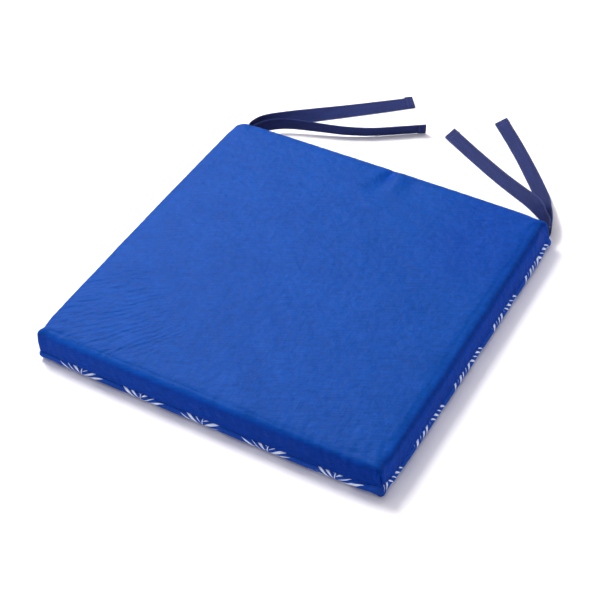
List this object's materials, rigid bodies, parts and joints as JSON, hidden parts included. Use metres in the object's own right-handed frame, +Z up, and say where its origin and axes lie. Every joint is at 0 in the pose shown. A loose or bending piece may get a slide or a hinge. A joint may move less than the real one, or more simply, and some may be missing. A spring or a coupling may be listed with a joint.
{
  "type": "chair cushion",
  "caption": "Square seat cushion with a plain blue top, a leaf-printed base cloth and folded tape ties at its back corners, lying flat with the ties loose.",
  "frame": {"origin": "middle of the flat underside, on the surface that the cushion lies on", "axes": "+Z up through the thickness, +Y towards the back edge and its ties, +X towards the right-hand edge seen from the front"},
  "size_m": [0.4036, 0.5868, 0.044],
  "materials": {
    "cover_cloth": "plain-woven royal blue cotton, matt with a faint sheen",
    "printed_cloth": "plain-woven cotton printed with white leaf sprigs on royal blue",
    "tie_tape": "narrow dark navy cotton tape, matt, with turned ends"
  },
  "bodies": {
    "root": {"cushion_body": "cover_cloth", "base_panel": "printed_cloth", "tie_left": "tie_tape", "tie_right": "tie_tape"}
  },
  "joints": []
}
